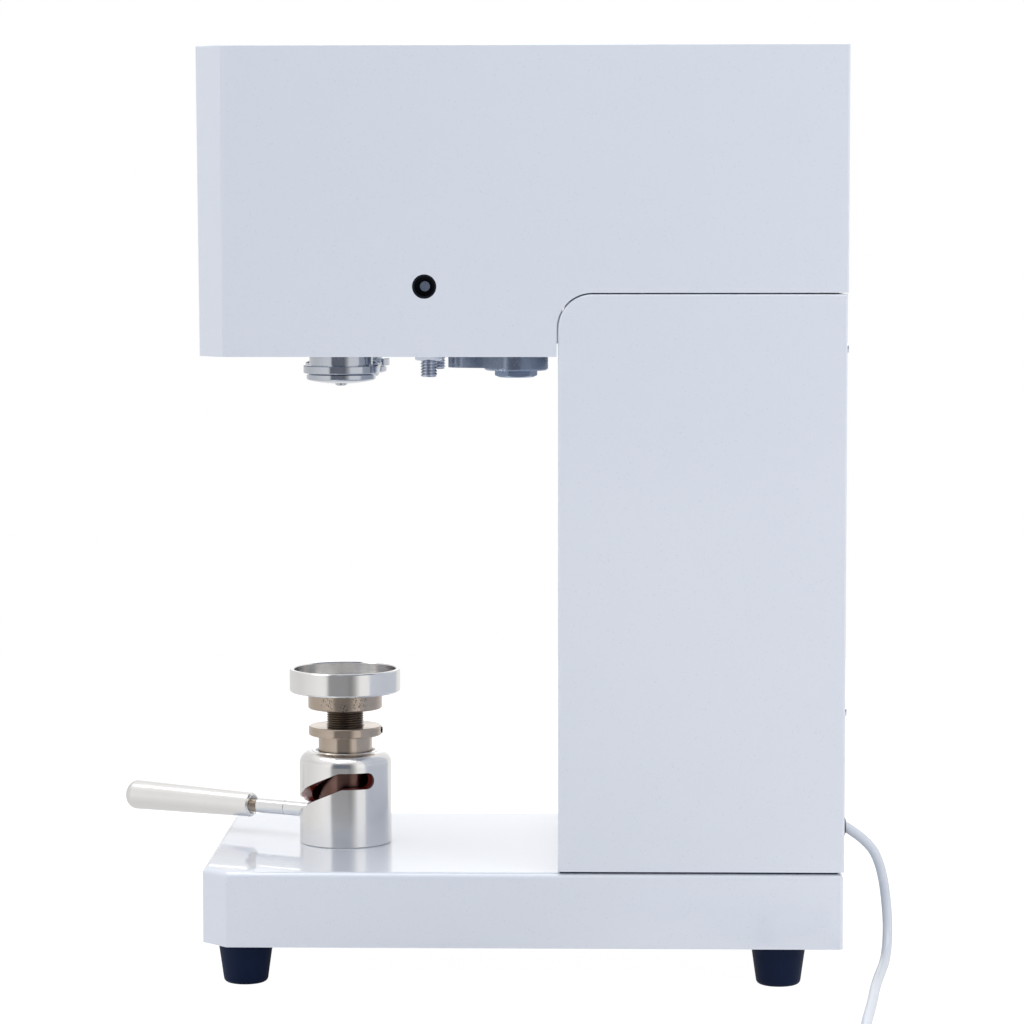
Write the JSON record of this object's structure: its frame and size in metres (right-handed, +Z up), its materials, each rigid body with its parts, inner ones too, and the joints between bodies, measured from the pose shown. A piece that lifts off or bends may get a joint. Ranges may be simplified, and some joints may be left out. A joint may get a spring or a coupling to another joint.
{
  "type": "can seamer",
  "caption": "Desktop can seamer: a white C-shaped casing with a lever-lifted can tray under a driven chuck and two swinging seaming rollers.",
  "frame": {"origin": "on the bench that the feet stand on, where the upright line of the can, tray and chuck meets it", "axes": "+Z up along the can's line, +X across the machine towards the side that the picture shows, +Y from the front to the column at the back"},
  "size_m": [0.4865, 0.5105, 0.588],
  "materials": {
    "white_paint": "smooth satin powder coat, slightly cool white",
    "dark_sheet": "plain dark primer",
    "black_rubber": "matt moulded rubber",
    "satin_aluminium": "fine-turned satin aluminium",
    "turned_steel": "turned steel with a warm tint",
    "zinc_steel": "bright zinc plate",
    "machined_steel": "machined blue-grey steel",
    "polished_steel": "ground and polished hard steel",
    "black_oxide": "black oxide",
    "bearing_bronze": "oiled bronze",
    "black_plastic": "moulded plastic",
    "motor_paint": "dark enamel",
    "board_green": "circuit board laminate",
    "grey_cord": "light grey PVC",
    "button_green": "moulded button"
  },
  "bodies": {
    "root": {"base_housing": "white_paint", "base_plate": "dark_sheet", "rubber_feet": "black_rubber", "base_screws": "zinc_steel", "jack_body": "satin_aluminium", "jack_bush": "turned_steel", "column_cover": "white_paint", "column_seal": "black_rubber", "column_frame": "dark_sheet", "spacer_posts": "zinc_steel", "casing_screws": "zinc_steel", "hood": "white_paint", "hood_cups": "black_plastic", "head_plate": "machined_steel", "head_screws": "zinc_steel", "spindle_housing": "machined_steel", "head_bearings": "bearing_bronze", "drive_belt": "black_rubber", "main_motor": "motor_paint", "cam_gearmotor": "motor_paint", "pivot_studs": "zinc_steel", "pivot_nuts": "zinc_steel", "arm_springs": "zinc_steel", "start_button_body": "turned_steel", "power_switch": "black_plastic", "control_board": "board_green", "cord_gland": "black_plastic", "power_cord": "grey_cord", "cord_coil": "grey_cord", "cord_plug": "grey_cord"},
    "lever": {"cam_collar": "bearing_bronze", "lever_rod": "turned_steel", "lever_grip": "satin_aluminium"},
    "lift": {"lift_piston": "turned_steel", "piston_nut": "zinc_steel", "lock_ring": "turned_steel", "lock_ring_screw": "black_oxide"},
    "stem": {"height_stem": "turned_steel", "bearing_hub": "turned_steel"},
    "tray": {"can_tray": "satin_aluminium"},
    "spindle": {"seaming_chuck": "polished_steel", "spindle_shaft": "machined_steel", "spindle_fixings": "zinc_steel", "spindle_pulley": "satin_aluminium"},
    "motor_rotor": {"motor_shaft": "machined_steel", "motor_pulley": "satin_aluminium"},
    "cam": {"cam_shaft": "zinc_steel", "seaming_cam": "machined_steel"},
    "start_button": {"start_button_cap": "button_green"},
    "switch_rocker": {"switch_rocker": "black_plastic"},
    "right_arm": {"right_arm": "machined_steel", "right_arm_fittings": "bearing_bronze"},
    "right_roller": {"right_roller": "polished_steel", "right_roller_fixings": "polished_steel"},
    "right_follower": {"right_follower": "polished_steel"},
    "left_arm": {"left_arm": "machined_steel", "left_arm_fittings": "bearing_bronze"},
    "left_roller": {"left_roller": "polished_steel", "left_roller_fixings": "polished_steel"},
    "left_follower": {"left_follower": "polished_steel"}
  },
  "joints": [
    {"name": "lift_rise", "type": "slide", "parent": "root", "child": "lift", "axis": [0, 0, 1], "range_m": [0, 0.025]},
    {"name": "lever_swing", "type": "hinge", "parent": "lift", "child": "lever", "pos_m": [0, 0, 0.0935], "axis": [0, 0, 1], "range_deg": [0, 114]},
    {"name": "tray_height", "type": "slide", "parent": "lift", "child": "stem", "axis": [0, 0, 1], "range_m": [0, 0.01]},
    {"name": "tray_spin", "type": "hinge", "parent": "stem", "child": "tray", "pos_m": [0, 0, 0.178], "axis": [0, 0, 1], "continuous": true},
    {"name": "spindle_spin", "type": "hinge", "parent": "root", "child": "spindle", "pos_m": [0, 0, 0.44], "axis": [0, 0, 1], "continuous": true},
    {"name": "motor_spin", "type": "hinge", "parent": "root", "child": "motor_rotor", "pos_m": [0, 0.23, 0.44], "axis": [0, 0, 1], "continuous": true},
    {"name": "cam_swing", "type": "hinge", "parent": "root", "child": "cam", "pos_m": [0, 0.1118, 0.42], "axis": [0, 0, 1], "range_deg": [-55, 55]},
    {"name": "start_press", "type": "slide", "parent": "root", "child": "start_button", "axis": [0, 1, 0.0068], "range_m": [0, 0.0025], "stiffness_N_per_m": 600, "springref_m": -0.001},
    {"name": "switch_tilt", "type": "hinge", "parent": "root", "child": "switch_rocker", "pos_m": [-0.055, 0.3144, 0.112], "axis": [1, 0, 0], "range_deg": [0, 14]},
    {"name": "right_arm_swing", "type": "hinge", "parent": "root", "child": "right_arm", "pos_m": [0.058, 0.0582, 0.4175], "axis": [0, 0, -1], "range_deg": [0, 9.5], "stiffness_Nm_per_rad": 4, "springref_deg": -5.73},
    {"name": "right_roller_spin", "type": "hinge", "parent": "right_arm", "child": "right_roller", "pos_m": [0.058, 0.00265, 0.4], "axis": [0, 0, 1], "continuous": true},
    {"name": "right_follower_spin", "type": "hinge", "parent": "right_arm", "child": "right_follower", "pos_m": [0.0455, 0.1118, 0.404], "axis": [0, 0, 1], "continuous": true},
    {"name": "left_arm_swing", "type": "hinge", "parent": "root", "child": "left_arm", "pos_m": [-0.058, 0.0582, 0.4175], "axis": [0, 0, 1], "range_deg": [0, 9.5], "stiffness_Nm_per_rad": 4, "springref_deg": -5.73},
    {"name": "left_roller_spin", "type": "hinge", "parent": "left_arm", "child": "left_roller", "pos_m": [-0.058, 0.00265, 0.4], "axis": [0, 0, 1], "continuous": true},
    {"name": "left_follower_spin", "type": "hinge", "parent": "left_arm", "child": "left_follower", "pos_m": [-0.0455, 0.1118, 0.404], "axis": [0, 0, 1], "continuous": true}
  ],
  "couplings": [
    {"joint": "lift_rise", "follows": "lever_swing", "m_per_rad": 0.012564},
    {"joint": "motor_spin", "follows": "spindle_spin", "ratio": 2.5}
  ]
}
